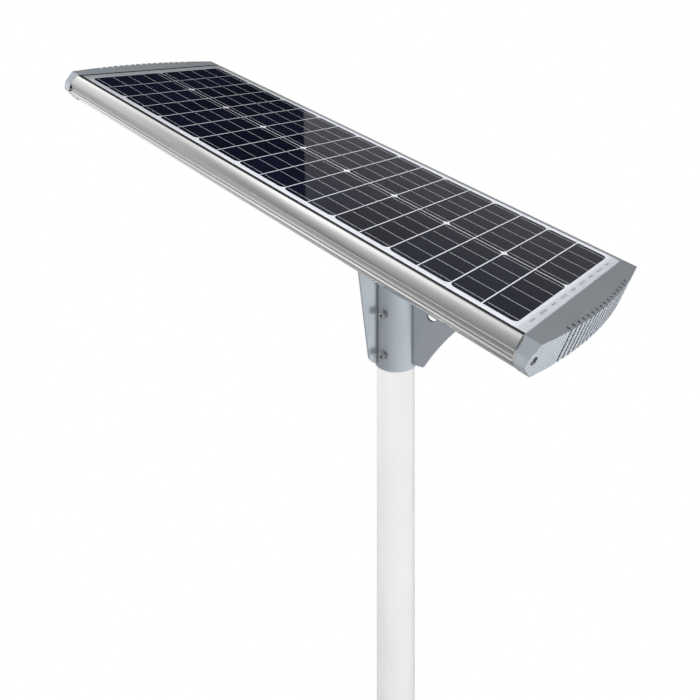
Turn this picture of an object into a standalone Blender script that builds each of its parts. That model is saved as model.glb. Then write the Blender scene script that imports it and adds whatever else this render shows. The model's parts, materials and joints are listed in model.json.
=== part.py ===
"""Integrated solar street lamp: a flat lamp head, tilted on a ribbed bracket, over a round pole.

Two frames are used. The world has +Z up and its origin in the middle of the whole lamp's footprint,
level with the cut lower end of the pole, whose axis stands at x = POLE_X. The lamp frame is tilted by
TILT about Y: its origin is the centre of the solar panel's face, +X runs down the slope, +Y across
the head, +Z out of the panel. Units are metres.
"""

from math import cos, pi, radians, sin, tan

import bmesh
import bpy
from mathutils import Matrix, Vector

# ---------------------------------------------------------------- driving dimensions
GAP = 0.0003  # air between neighbouring solids

POLE_X = 0.1502  # the head overhangs the pole more on its raised side, so the pole is off centre
POLE_RADIUS = 0.03015
POLE_WALL = 0.003
POLE_BELOW_SOCKET = 0.600
POLE_INSIDE_SOCKET = 0.150

TILT = radians(16.3)
PANEL_ABOVE_RIM = 0.2669  # from the socket's rim to the panel's face, along the pole axis
AXIS_ALONG_HEAD = 0.1526  # where the pole axis crosses the panel's face, from the panel's centre

SOCKET_RADIUS = 0.0329
SOCKET_BORE_RADIUS = 0.0305
RIB_THICKNESS = 0.005
RIB_ABOVE_RIM = 0.0075
RIB_HOLE = (0.0680, 0.0915)  # reach from the pole axis and height above the rim
RIB_HOLE_RADIUS = 0.0092
BASE_PLATE_START = 0.058
BASE_PLATE_END = 0.384
BASE_PLATE_HALF_WIDTH = 0.070
BASE_PLATE_THICKNESS = 0.008

HOUSING_HALF_LENGTH = 0.467
HOUSING_HALF_WIDTH = 0.1916
FLOOR_OUTER = -0.0475
FLOOR_THICKNESS = 0.003
FIN_HEIGHT = 0.003
SCREW_PORT_Y = 0.177
SCREW_PORT_Z = -0.0235

CAP_START = 0.469
CAP_END_AT_CENTRE = 0.506
CAP_ARC_RADIUS = 1.040
CAP_LEAN = 0.007  # how far the end face leans in from its top edge to its bottom edge
CAP_SLOT_COUNT = 16
CAP_SLOT_PITCH = 0.01425
CAP_SLOT_WIDTH = 0.005
CAP_SLOT_DEPTH = 0.007
CAP_SCREW_SEAT = 0.4815
GASKET_PROUD = 0.0008
CAP_CAVITY_END = 0.482

PANEL_HALF_LENGTH = 0.4665
PANEL_HALF_WIDTH = 0.170
GLASS_THICKNESS = 0.0032
CELL_THICKNESS = 0.0006
BACKSHEET_THICKNESS = 0.0010

LED_MODULE_X = (-0.355, -0.145)
LED_MODULE_LENGTH = 0.196
LED_MODULE_WIDTH = 0.130
LED_BOARD_MARGIN = 0.009
LENS_FLANGE = 0.003
LENS_DEPTH = 0.007
LENS_SCREW_INSET = 0.0055

SENSOR_X = 0.012
SWITCH_X = 0.428
SWITCH_Y = -0.072
SWITCH_BUTTON_RADIUS = 0.0060
SWITCH_FLANGE = 0.003
SWITCH_INSIDE = 0.0110  # how far the switch's body reaches in from its flange

BRACKET_BOLT_X = (0.086, 0.350)
BRACKET_BOLT_Y = 0.045
BOLT_HOLE_RADIUS = 0.0042
SET_SCREW_HEIGHTS = (0.024, 0.088)  # above the socket's rim
SET_SCREW_RADIUS = 0.0029
SET_SCREW_HEAD_RADIUS = 0.0050
SET_SCREW_HEAD_HEIGHT = 0.0060
SET_SCREW_SOCKET_RADIUS = 0.0027
WASHER_RADIUS = 0.0060
WASHER_THICKNESS = 0.0016

LED_LEAD_A_HOLE = (-0.438, -0.030)
LED_LEAD_B_HOLE = (-0.088, 0.045)
SENSOR_LEAD_HOLE = (0.022, 0.0)
CABLE_HEIGHT = -0.034
CABLE_RADIUS = 0.002

BATTERY_X = (-0.422, -0.100)
BATTERY_HALF_WIDTH = 0.075
BATTERY_TOP = -0.012
STRAP_X = (-0.345, -0.175)
CONTROLLER_X = (-0.080, 0.005)
CONTROLLER_HALF_WIDTH = 0.038
CONTROLLER_TOP = -0.024
JUNCTION_BOX_X = (0.200, 0.290)
JUNCTION_BOX_HALF_WIDTH = 0.032
JUNCTION_BOX_DEPTH = 0.016

RIM_Z = POLE_BELOW_SOCKET
FLOOR_INNER = FLOOR_OUTER + FLOOR_THICKNESS
HEAD_BOTTOM = FLOOR_OUTER - FIN_HEIGHT
BASE_PLATE_TOP = -FLOOR_OUTER + GAP  # depths under the panel's face
BASE_PLATE_BOTTOM = BASE_PLATE_TOP + BASE_PLATE_THICKNESS
BASE_PLATE_MIDDLE = (BASE_PLATE_TOP + BASE_PLATE_BOTTOM) / 2

# Outlines are drawn in X and Y and given their thickness along Z. This turns such a slab so that
# its outline lies in the lamp's YZ plane and its thickness runs along the head.
ALONG_HEAD = Matrix(((0, 0, 1, 0), (1, 0, 0, 0), (0, 1, 0, 0), (0, 0, 0, 1)))
# Turns it upright instead, so that its outline lies in the XZ plane.
UPRIGHT = Matrix.Rotation(pi / 2, 4, "X")


# ---------------------------------------------------------------- scene and materials
def start_scene():
    for obj in list(bpy.data.objects):
        bpy.data.objects.remove(obj, do_unlink=True)
    groups = []
    for name in ("solar_street_lamp", "cutters"):
        group = bpy.data.collections.new(name)
        bpy.context.scene.collection.children.link(group)
        groups.append(group)
    return groups


PARTS, CUTTERS = start_scene()


def make_material(name, colour, roughness, metallic=0.0):
    mat = bpy.data.materials.new(name)
    mat.use_nodes = True
    shader = mat.node_tree.nodes["Principled BSDF"]
    shader.inputs["Base Color"].default_value = (*colour, 1.0)
    shader.inputs["Roughness"].default_value = roughness
    shader.inputs["Metallic"].default_value = metallic
    return mat


def make_frame(name, matrix, parent=None):
    """An empty that carries pieces; matrix is in the parent's frame."""
    empty = bpy.data.objects.new(name, None)
    empty.empty_display_size = 0.05
    PARTS.objects.link(empty)
    empty.parent = parent
    empty.matrix_local = matrix
    return empty


# ---------------------------------------------------------------- mesh helpers
def mesh_from(bm, name):
    mesh = bpy.data.meshes.new(name)
    bm.to_mesh(mesh)
    bm.free()
    return mesh


def box_mesh(size, centre):
    bm = bmesh.new()
    bmesh.ops.create_cube(bm, size=1.0)
    bmesh.ops.scale(bm, vec=size, verts=bm.verts)
    bmesh.ops.translate(bm, vec=centre, verts=bm.verts)
    return mesh_from(bm, "box")


def span_mesh(low, high):
    """A box from its lowest to its highest corner."""
    low, high = Vector(low), Vector(high)
    return box_mesh(high - low, (low + high) / 2)


def cylinder_mesh(radius, bottom, top, centre=(0.0, 0.0), segments=24):
    bm = bmesh.new()
    bmesh.ops.create_cone(
        bm, cap_ends=True, segments=segments, radius1=radius, radius2=radius, depth=top - bottom
    )
    bmesh.ops.translate(bm, vec=(centre[0], centre[1], (top + bottom) / 2), verts=bm.verts)
    return mesh_from(bm, "cylinder")


def slab_mesh(outline, thickness, holes=()):
    """A flat plate from a closed outline, centred on its mid plane, with optional holes."""
    curve = bpy.data.curves.new("outline", "CURVE")
    curve.dimensions = "2D"
    curve.fill_mode = "BOTH"
    curve.extrude = thickness / 2
    for loop in (outline, *holes):
        spline = curve.splines.new("POLY")
        spline.points.add(len(loop) - 1)
        for point, (x, y) in zip(spline.points, loop):
            point.co = (x, y, 0.0, 1.0)
        spline.use_cyclic_u = True
    return mesh_of_curve(curve)


def tube_mesh(points, radius):
    """A round cable along straight runs between the points."""
    curve = bpy.data.curves.new("cable", "CURVE")
    curve.dimensions = "3D"
    curve.bevel_depth = radius
    curve.bevel_resolution = 2
    curve.use_fill_caps = True
    spline = curve.splines.new("POLY")
    spline.points.add(len(points) - 1)
    for point, place in zip(spline.points, points):
        point.co = (*place, 1.0)
    return mesh_of_curve(curve)


def mesh_of_curve(curve):
    """Turn a curve into a closed mesh: its caps are loose, so they are welded on."""
    holder = bpy.data.objects.new("curve", curve)
    bpy.context.scene.collection.objects.link(holder)
    bpy.context.view_layer.update()
    evaluated = holder.evaluated_get(bpy.context.evaluated_depsgraph_get())
    mesh = bpy.data.meshes.new_from_object(evaluated)
    bpy.data.objects.remove(holder, do_unlink=True)
    bm = bmesh.new()
    bm.from_mesh(mesh)
    bmesh.ops.remove_doubles(bm, verts=bm.verts, dist=1e-6)
    bmesh.ops.recalc_face_normals(bm, faces=bm.faces)
    bm.to_mesh(mesh)
    bm.free()
    return mesh


def joined(meshes):
    """One mesh that holds several, used for a cutter with many holes."""
    bm = bmesh.new()
    for mesh in meshes:
        bm.from_mesh(mesh)
    return mesh_from(bm, "joined")


def moved(mesh, *matrices):
    for matrix in matrices:
        mesh.transform(matrix)
    return mesh


def circle(radius, centre=(0.0, 0.0), segments=16, start=0.0, sweep=2 * pi):
    """Points on an arc; a full circle leaves out its repeated last point."""
    closed = abs(sweep) > 2 * pi - 1e-6
    steps = segments if closed else segments + 1
    turns = [start + sweep * i / segments for i in range(steps)]
    return [(centre[0] + radius * cos(a), centre[1] + radius * sin(a)) for a in turns]


def rectangle(half_x, half_y, centre=(0.0, 0.0)):
    cx, cy = centre
    return [
        (cx - half_x, cy - half_y),
        (cx + half_x, cy - half_y),
        (cx + half_x, cy + half_y),
        (cx - half_x, cy + half_y),
    ]


def rounded_rectangle(half_x, half_y, radius, centre=(0.0, 0.0), segments=4):
    points = []
    for quarter, (sx, sy) in enumerate(((1, 1), (-1, 1), (-1, -1), (1, -1))):
        corner = (centre[0] + sx * (half_x - radius), centre[1] + sy * (half_y - radius))
        points += circle(radius, corner, segments, quarter * pi / 2, pi / 2)
    return points


# ---------------------------------------------------------------- object helpers
def add_part(name, mesh, mat, parent=None, smooth=False):
    mesh.name = name
    mesh.materials.clear()
    mesh.materials.append(mat)
    if smooth:
        mesh.shade_smooth()
        mesh.set_sharp_from_angle(angle=radians(35))
    obj = bpy.data.objects.new(name, mesh)
    PARTS.objects.link(obj)
    obj.parent = parent
    return obj


def add_boolean(obj, mesh, operation="DIFFERENCE"):
    """Cut with a mesh given in the object's own frame, or join it on."""
    number = len(obj.modifiers) + 1
    tool = bpy.data.objects.new(f"{obj.name}_tool_{number}", mesh)
    CUTTERS.objects.link(tool)
    tool.parent = obj
    tool.hide_render = True
    tool.display_type = "WIRE"
    modifier = obj.modifiers.new(f"{operation.lower()}_{number}", "BOOLEAN")
    modifier.operation = operation
    modifier.solver = "EXACT"
    modifier.object = tool


def add_turned(name, profile, mat, parent, matrix, steps=20):
    """A turned piece. The profile of (radius, height) points runs down its outer side, from axis
    to axis; a profile that stays clear of the axis is closed into a ring."""
    bm = bmesh.new()
    verts = [bm.verts.new((radius, 0.0, height)) for radius, height in profile]
    ring = profile[0][0] > 0.0
    for first, second in zip(verts, verts[1:] + verts[:1] if ring else verts[1:]):
        bm.edges.new((first, second))
    obj = add_part(name, mesh_from(bm, name), mat, parent)
    obj.matrix_local = matrix
    screw = obj.modifiers.new("turn", "SCREW")
    screw.axis = "Z"
    screw.steps = steps
    screw.render_steps = steps
    screw.use_merge_vertices = True
    screw.merge_threshold = 0.00001
    return obj


# ---------------------------------------------------------------- materials and frames
POLE_COAT = make_material("white_powder_coat", (0.80, 0.80, 0.80), 0.35)
GREY_PAINT = make_material("grey_blue_paint", (0.31, 0.35, 0.39), 0.45)
ALUMINIUM = make_material("anodised_aluminium", (0.72, 0.72, 0.71), 0.28, 1.0)
STEEL = make_material("stainless_steel", (0.58, 0.58, 0.57), 0.25, 1.0)
RUBBER = make_material("black_rubber", (0.02, 0.02, 0.02), 0.80)
GLASS = make_material("tempered_glass", (0.75, 0.82, 0.82), 0.05)
SILICON = make_material("silicon_cells", (0.01, 0.012, 0.03), 0.20)
WHITE_FILM = make_material("white_backsheet", (0.80, 0.80, 0.83), 0.50)
CLEAR_PLASTIC = make_material("clear_polycarbonate", (0.82, 0.84, 0.85), 0.10)
WHITE_PLASTIC = make_material("white_plastic", (0.78, 0.78, 0.76), 0.40)
BLACK_PLASTIC = make_material("black_plastic", (0.03, 0.03, 0.03), 0.50)
BATTERY_WRAP = make_material("blue_shrink_wrap", (0.03, 0.12, 0.35), 0.35)
BOARD_WHITE = make_material("white_circuit_board", (0.75, 0.75, 0.72), 0.45)

SWIVEL = make_frame("swivel_axis", Matrix.Translation((POLE_X, 0.0, RIM_Z)))
LAMP = make_frame(
    "lamp_frame",
    Matrix.Translation((0.0, 0.0, PANEL_ABOVE_RIM))
    @ Matrix.Rotation(TILT, 4, "Y")
    @ Matrix.Translation((-AXIS_ALONG_HEAD, 0.0, 0.0)),
    SWIVEL,
)


# ---------------------------------------------------------------- pole
def build_pole():
    outer = circle(POLE_RADIUS, segments=64)
    bore = circle(POLE_RADIUS - POLE_WALL, segments=64)
    length = POLE_BELOW_SOCKET + POLE_INSIDE_SOCKET
    mesh = slab_mesh(outer, length, [bore])
    moved(mesh, Matrix.Translation((0.0, 0.0, length / 2)))
    pole = add_part("pole_section", mesh, POLE_COAT, smooth=True)
    pole.location.x = POLE_X


# ---------------------------------------------------------------- bracket
def height_of_lamp_plane(x, depth):
    """Height above the rim, at x, of the plane that lies depth under the panel's face."""
    return PANEL_ABOVE_RIM - depth / cos(TILT) - x * tan(TILT)


def mitred_cylinder(radius, bottom, depth):
    """A vertical cylinder from a flat bottom up to a plane of the lamp."""
    mesh = cylinder_mesh(radius, bottom, PANEL_ABOVE_RIM, segments=64)
    for vertex in mesh.vertices:
        if vertex.co.z > PANEL_ABOVE_RIM / 2:
            vertex.co.z = height_of_lamp_plane(vertex.co.x, depth)
    return mesh


def front_rib_outline():
    """The long rib down the slope: a square foot, then a wide concave curve up to the plate."""
    curve_radius = 0.469
    reach, height = 0.0525, RIB_ABOVE_RIM
    outline = [(SOCKET_RADIUS - 0.004, RIB_ABOVE_RIM)]
    heading, step = radians(55.0), radians(3.0)
    while height < height_of_lamp_plane(reach, BASE_PLATE_MIDDLE):
        outline.append((reach, height))
        reach += curve_radius * step * cos(heading)
        height += curve_radius * step * sin(heading)
        heading -= step
    reach -= 0.002
    outline.append((reach, height_of_lamp_plane(reach, BASE_PLATE_MIDDLE)))
    inner = SOCKET_RADIUS - 0.004
    outline.append((inner, height_of_lamp_plane(inner, BASE_PLATE_MIDDLE)))
    return outline


def side_rib_outline(azimuth):
    """A short rib, wider at its top, with a rounded lower corner."""
    inner, lean, round_radius = SOCKET_RADIUS - 0.004, 0.133, 0.012
    low_reach = 0.0482
    corner = (low_reach - round_radius, RIB_ABOVE_RIM + round_radius)
    outline = [(inner, RIB_ABOVE_RIM)]
    outline += circle(round_radius, corner, 6, -pi / 2, pi / 2)
    top = height_of_lamp_plane(0.0, BASE_PLATE_MIDDLE)
    reach = low_reach + lean * (top - corner[1])
    for end in (reach, inner):
        outline.append((end, height_of_lamp_plane(end * cos(azimuth), BASE_PLATE_MIDDLE)))
    return outline


def base_plate_mesh():
    length = BASE_PLATE_END - BASE_PLATE_START
    middle = (BASE_PLATE_END + BASE_PLATE_START) / 2
    outline = rounded_rectangle(length / 2, BASE_PLATE_HALF_WIDTH, 0.018, (middle, 0.0))
    mesh = slab_mesh(outline, BASE_PLATE_THICKNESS)
    return moved(mesh, Matrix.Translation((0, 0, -BASE_PLATE_MIDDLE)), LAMP.matrix_local)


def build_bracket():
    bracket = add_part(
        "mounting_bracket",
        mitred_cylinder(SOCKET_RADIUS, 0.0, BASE_PLATE_MIDDLE),
        GREY_PAINT,
        SWIVEL,
    )
    ribs = [(0.0, front_rib_outline(), [circle(RIB_HOLE_RADIUS, RIB_HOLE, 24)])]
    for azimuth in (radians(120), radians(-120)):
        ribs.append((azimuth, side_rib_outline(azimuth), []))
    add_boolean(bracket, base_plate_mesh(), "UNION")
    for azimuth, outline, holes in ribs:
        rib = slab_mesh(outline, RIB_THICKNESS, holes)
        add_boolean(bracket, moved(rib, UPRIGHT, Matrix.Rotation(azimuth, 4, "Z")), "UNION")
    bore = mitred_cylinder(SOCKET_BORE_RADIUS, -0.01, BASE_PLATE_BOTTOM)
    add_boolean(bracket, bore)
    holes = [set_screw_hole(height) for height in SET_SCREW_HEIGHTS]
    add_boolean(bracket, joined(holes))
    add_boolean(bracket, joined(bracket_bolt_holes()))
    bracket.data.shade_smooth()


def set_screw_hole(height):
    """One long drill that opens both sides of the socket."""
    drill = cylinder_mesh(SET_SCREW_RADIUS + GAP, -0.05, 0.05, segments=20)
    return moved(drill, UPRIGHT, Matrix.Translation((0.0, 0.0, height)))


def bracket_bolt_places():
    return [(x, y) for x in BRACKET_BOLT_X for y in (-BRACKET_BOLT_Y, BRACKET_BOLT_Y)]


def bracket_bolt_holes():
    drills = []
    for place in bracket_bolt_places():
        drill = cylinder_mesh(BOLT_HOLE_RADIUS, -0.070, -0.036, place, 16)
        drills.append(moved(drill, LAMP.matrix_local))
    return drills


def build_backing_plate():
    """The steel plate inside the housing that the bracket bolts screw into."""
    length = BRACKET_BOLT_X[1] - BRACKET_BOLT_X[0] + 0.030
    middle = (BRACKET_BOLT_X[0] + BRACKET_BOLT_X[1]) / 2
    outline = rounded_rectangle(length / 2, 0.060, 0.008, (middle, 0.0), 2)
    holes = [circle(BOLT_HOLE_RADIUS, place, 16) for place in bracket_bolt_places()]
    thickness = 0.004
    mesh = slab_mesh(outline, thickness, holes)
    moved(mesh, Matrix.Translation((0, 0, FLOOR_INNER + GAP + thickness / 2)))
    add_part("backing_plate", mesh, STEEL, LAMP)


def build_bracket_bolts():
    """Flanged hexagon bolts, pushed up from under the bracket's plate."""
    seat = -BASE_PLATE_BOTTOM - GAP
    for number, place in enumerate(bracket_bolt_places(), 1):
        head = cylinder_mesh(0.0075, seat - 0.0068, seat - 0.0012, place, 6)
        bolt = add_part(f"bracket_bolt_{number}", head, STEEL, LAMP)
        shank = cylinder_mesh(0.0039, seat - 0.002, FLOOR_INNER + 0.0085, place, 12)
        flange = cylinder_mesh(0.0088, seat - 0.0016, seat, place, 18)
        add_boolean(bolt, flange, "UNION")
        add_boolean(bolt, shank, "UNION")


# ---------------------------------------------------------------- screws
def socket_head_profile(head_radius, head_height, shank_radius, shank_length, socket_radius):
    """Half section of a socket-head screw. The head sits on z = 0 and the shank hangs below."""
    socket_floor = head_height * 0.45
    chamfer = 0.0006
    return [
        (0.0, socket_floor),
        (socket_radius, socket_floor),
        (socket_radius, head_height),
        (head_radius - chamfer, head_height),
        (head_radius, head_height - chamfer),
        (head_radius, 0.0),
        (shank_radius, 0.0),
        (shank_radius, -shank_length),
        (0.0, -shank_length),
    ]


def build_set_screws():
    """Screws that clamp the pole, two on each side. Local +Z is each screw's way out."""
    tip = POLE_RADIUS + 1.5 * GAP
    washer_seat = SOCKET_RADIUS + GAP
    head_seat = washer_seat + WASHER_THICKNESS + GAP
    profile = socket_head_profile(
        SET_SCREW_HEAD_RADIUS,
        SET_SCREW_HEAD_HEIGHT,
        SET_SCREW_RADIUS,
        head_seat - tip,
        SET_SCREW_SOCKET_RADIUS,
    )
    for side, turn in (("front", pi / 2), ("rear", -pi / 2)):
        for level, height in zip(("lower", "upper"), SET_SCREW_HEIGHTS):
            outward = Matrix.Translation((0, 0, height)) @ Matrix.Rotation(turn, 4, "X")
            screw_place = outward @ Matrix.Translation((0, 0, head_seat))
            add_turned(f"set_screw_{side}_{level}", profile, STEEL, SWIVEL, screw_place, 18)
            hole = circle(SET_SCREW_RADIUS + GAP, segments=14)
            ring = slab_mesh(circle(WASHER_RADIUS, segments=20), WASHER_THICKNESS, [hole])
            washer = add_part(f"washer_{side}_{level}", ring, STEEL, SWIVEL)
            middle = washer_seat + WASHER_THICKNESS / 2
            washer.matrix_local = outward @ Matrix.Translation((0, 0, middle))


# ---------------------------------------------------------------- housing
def shoulder(steps=6):
    """The side of the head from the lip beside the panel down to the widest ridge."""
    radius, start, end = 0.0298, radians(30), radians(70)
    points = []
    for i in range(steps + 1):
        heading = start + (end - start) * i / steps
        y = 0.1785 + radius * (sin(heading) - sin(start))
        z = -0.0008 - radius * (cos(start) - cos(heading))
        points.append((y, z))
    return points


def housing_outer():
    """Half of the outside section, from the lip round to the middle of the floor."""
    widest = HOUSING_HALF_WIDTH
    ridges = [
        (widest, -0.0176),
        (widest - 0.0020, -0.0188),
        (widest - 0.0020, -0.0238),
        (widest - 0.0005, -0.0248),
        (widest - 0.0005, -0.0258),
        (widest - 0.0023, -0.0268),
        (widest - 0.0023, -0.0280),
        (widest - 0.0002, -0.0298),
        (widest - 0.0002, -0.0316),
        (widest - 0.0022, -0.0338),
        (0.1680, HEAD_BOTTOM + 0.0005),
        (0.1670, HEAD_BOTTOM),
        (0.1650, HEAD_BOTTOM),
        (0.1650, FLOOR_OUTER),
    ]
    return [(0.1763, -0.0008)] + shoulder() + ridges + fins()


def fins(count=6, width=0.0024, pitch=0.0092, rise=0.0004):
    """Cooling fins under the floor, from the outermost inward, with a shallow valley before each.
    The valleys follow a slight curve, up to the step of the flat pad that carries the modules."""
    root = FLOOR_OUTER + rise
    points = []
    for i in range(count):
        y = 0.1560 - i * pitch
        points += [
            (y + (pitch - width) / 2, root + rise * (1 + 0.02 * i * i)),
            (y, root),
            (y, HEAD_BOTTOM),
            (y - width, HEAD_BOTTOM),
            (y - width, root),
        ]
    pad = 0.1560 - count * pitch
    return points + [(pad + 0.0005, root + 2 * rise), (pad, FLOOR_OUTER)]


def housing_inner():
    """Half of the inside section, from the middle of the floor back up to the lip."""
    wall = HOUSING_HALF_WIDTH - 0.0048
    port_radius = 0.0065
    port = circle(port_radius, (SCREW_PORT_Y, SCREW_PORT_Z), 8, -pi / 2, -pi)
    return [
        (0.1655, FLOOR_INNER),
        (wall, SCREW_PORT_Z - port_radius - 0.0015),
        (wall, SCREW_PORT_Z - port_radius),
        *port,
        (wall, SCREW_PORT_Z + port_radius),
        (wall - 0.0008, -0.0125),
        (0.1810, -0.0083),
        (0.1660, -0.0083),
        (0.1660, -0.0059),
        (0.1763, -0.0059),
    ]


def mirrored(half):
    return [(-y, z) for y, z in reversed(half)]


def build_housing():
    """An open-topped aluminium extrusion with screw ports, cooling fins and a ledge for the panel."""
    outer, inner = housing_outer(), housing_inner()
    # The outline runs along the outside from lip to lip, and back along the inside.
    section = outer + mirrored(outer) + mirrored(inner) + inner
    ports = [circle(0.0032, (side * SCREW_PORT_Y, SCREW_PORT_Z)) for side in (-1, 1)]
    mesh = slab_mesh(section, 2 * HOUSING_HALF_LENGTH, ports)
    housing = add_part("housing_extrusion", moved(mesh, ALONG_HEAD), ALUMINIUM, LAMP)
    add_boolean(housing, joined(floor_drills()))


def floor_drills():
    low, high = HEAD_BOTTOM - 0.002, FLOOR_INNER + 0.002
    bolts = bracket_bolt_places()
    drills = [cylinder_mesh(BOLT_HOLE_RADIUS, low, high, place, 16) for place in bolts]
    drills += [cylinder_mesh(0.0023, low, high, place, 10) for place in lens_screw_places()]
    drills += [cylinder_mesh(0.0035, low, high, place, 12) for place in lead_holes()]
    drills.append(cylinder_mesh(0.0083, low, high, (SWITCH_X, SWITCH_Y), 24))
    return drills


# ---------------------------------------------------------------- end caps
def cap_arc(steps=24, half_width=0.200):
    """The bowed plan line of the end face, from one side to the other."""
    points = []
    for i in range(steps + 1):
        y = -half_width + 2 * half_width * i / steps
        points.append((CAP_END_AT_CENTRE - y * y / (2 * CAP_ARC_RADIUS), y))
    return points


def cap_section():
    """The cap's section across the head."""
    half = [(0.1765, 0.0), (0.1915, -0.0170), (0.1920, -0.0300), (0.1685, HEAD_BOTTOM)]
    return half + mirrored(half)


def lean_in(mesh):
    """Slope a vertical face so that it moves inward towards the bottom of the head."""
    slope = CAP_LEAN / abs(HEAD_BOTTOM)
    for vertex in mesh.vertices:
        vertex.co.x += slope * vertex.co.z
    return mesh


def cap_slots():
    cuts = []
    for i in range(CAP_SLOT_COUNT):
        y = (i - (CAP_SLOT_COUNT - 1) / 2) * CAP_SLOT_PITCH
        face = CAP_END_AT_CENTRE - y * y / (2 * CAP_ARC_RADIUS)
        low = (face - CAP_SLOT_DEPTH, y - CAP_SLOT_WIDTH / 2, HEAD_BOTTOM - 0.01)
        cuts.append(span_mesh(low, (face + 0.03, y + CAP_SLOT_WIDTH / 2, 0.01)))
    return lean_in(joined(cuts))


def cap_screw_drills(radius, start, end, segments):
    """A pair of drills along the head, one at each screw port."""
    drills = []
    for side in (-1, 1):
        place = Matrix.Translation((0, side * SCREW_PORT_Y, SCREW_PORT_Z))
        drill = cylinder_mesh(radius, start, end, segments=segments)
        drills.append(moved(drill, place @ Matrix.Rotation(pi / 2, 4, "Y")))
    return joined(drills)


def build_end_cap(name, frame):
    section = slab_mesh(cap_section(), 0.060)
    moved(section, ALONG_HEAD, Matrix.Translation((CAP_START + 0.030, 0, 0)))
    cap = add_part(name, section, GREY_PAINT, frame)
    plan = cap_arc() + [(CAP_START - 0.02, 0.200), (CAP_START - 0.02, -0.200)]
    block = moved(slab_mesh(plan, 0.080), Matrix.Translation((0, 0, HEAD_BOTTOM / 2)))
    add_boolean(cap, lean_in(block), "INTERSECT")
    cavity = span_mesh(
        (CAP_START - 0.01, -0.162, HEAD_BOTTOM + 0.0035), (CAP_CAVITY_END, 0.162, -0.0040)
    )
    add_boolean(cap, cavity)
    add_boolean(cap, cap_slots())
    add_boolean(cap, cap_screw_drills(0.0032, CAP_START - 0.01, CAP_SCREW_SEAT + 0.001, 16))
    add_boolean(cap, cap_screw_drills(0.0062, CAP_SCREW_SEAT, CAP_SCREW_SEAT + 0.03, 24))


def build_cap_gasket(name, frame, proud):
    """A flat rubber ring between the housing's end and the cap, standing this far out of the chamfer."""
    widest = HOUSING_HALF_WIDTH
    half = [
        (0.1763 + proud, -0.0006),
        (min(0.1913 + proud, widest), -0.0170),
        (min(0.1918 + proud, widest), -0.0300),
        (0.1683 + proud, HEAD_BOTTOM + 0.0002),
    ]
    inner = [(0.1660, -0.0062), (0.1850, -0.0175), (0.1850, -0.0290), (0.1620, FLOOR_INNER)]
    thickness = CAP_START - HOUSING_HALF_LENGTH - 2 * GAP
    middle = (CAP_START + HOUSING_HALF_LENGTH) / 2
    ring = slab_mesh(half + mirrored(half), thickness, [inner + mirrored(inner)])
    add_part(name, moved(ring, ALONG_HEAD, Matrix.Translation((middle, 0, 0))), RUBBER, frame)


def build_cap_screws(end, frame, front):
    """front is the sign of the frame's Y on the head's front side."""
    length = CAP_SCREW_SEAT - HOUSING_HALF_LENGTH + 0.016
    profile = socket_head_profile(0.005, 0.0055, 0.0029, length, 0.0025)
    for side, sign in (("front", front), ("rear", -front)):
        place = Matrix.Translation((CAP_SCREW_SEAT + GAP, sign * SCREW_PORT_Y, SCREW_PORT_Z))
        place = place @ Matrix.Rotation(pi / 2, 4, "Y")
        add_turned(f"cap_screw_{end}_{side}", profile, STEEL, frame, place, 14)


def build_ends():
    """The two ends are the same set of pieces, turned half a turn about the lamp's Z.

    Only the gasket at the high end stands proud; at the low end it is level with the cap."""
    for end, turn, front, proud in (("low", 0.0, -1, 0.0), ("high", pi, 1, GASKET_PROUD)):
        frame = make_frame(f"{end}_end", Matrix.Rotation(turn, 4, "Z"), LAMP)
        build_end_cap(f"end_cap_{end}", frame)
        build_cap_gasket(f"end_gasket_{end}", frame, proud)
        build_cap_screws(end, frame, front)


# ---------------------------------------------------------------- solar panel
def build_panel():
    """Glass, cells and back sheet, stacked downward from the lamp's z = 0."""
    top = 0.0
    layers = (
        ("panel_glass", GLASS_THICKNESS, 0.0, GLASS),
        ("solar_cells", CELL_THICKNESS, 0.006, SILICON),
        ("panel_backsheet", BACKSHEET_THICKNESS, 0.0, WHITE_FILM),
    )
    for name, thickness, inset, mat in layers:
        half_x, half_y = PANEL_HALF_LENGTH - inset, PANEL_HALF_WIDTH - inset
        mesh = span_mesh((-half_x, -half_y, top - thickness), (half_x, half_y, top))
        add_part(name, mesh, mat, LAMP)
        top -= thickness + GAP


def build_panel_gaskets():
    """Rubber strips that fill the slot between each long side of the panel and the lip."""
    low, high = PANEL_HALF_WIDTH + GAP, 0.1763 - GAP
    for side, name in ((-1, "panel_gasket_front"), (1, "panel_gasket_rear")):
        near, far = sorted((side * low, side * high))
        mesh = span_mesh(
            (-PANEL_HALF_LENGTH, near, -0.0055), (PANEL_HALF_LENGTH, far, -0.0010)
        )
        add_part(name, mesh, RUBBER, LAMP)


def build_junction_box():
    under = -(GLASS_THICKNESS + CELL_THICKNESS + BACKSHEET_THICKNESS + 3 * GAP)
    start, end = JUNCTION_BOX_X
    mesh = span_mesh(
        (start, -JUNCTION_BOX_HALF_WIDTH, under - JUNCTION_BOX_DEPTH),
        (end, JUNCTION_BOX_HALF_WIDTH, under),
    )
    add_part("junction_box", mesh, BLACK_PLASTIC, LAMP)


# ---------------------------------------------------------------- light modules
def lens_screw_places():
    """Screw centres at the corners of both modules."""
    half_x = LED_MODULE_LENGTH / 2 - LENS_SCREW_INSET
    half_y = LED_MODULE_WIDTH / 2 - LENS_SCREW_INSET
    places = []
    for middle in LED_MODULE_X:
        places += rectangle(half_x, half_y, (middle, 0.0))
    return places


def lead_holes():
    return [LED_LEAD_A_HOLE, LED_LEAD_B_HOLE, SENSOR_LEAD_HOLE]


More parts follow.
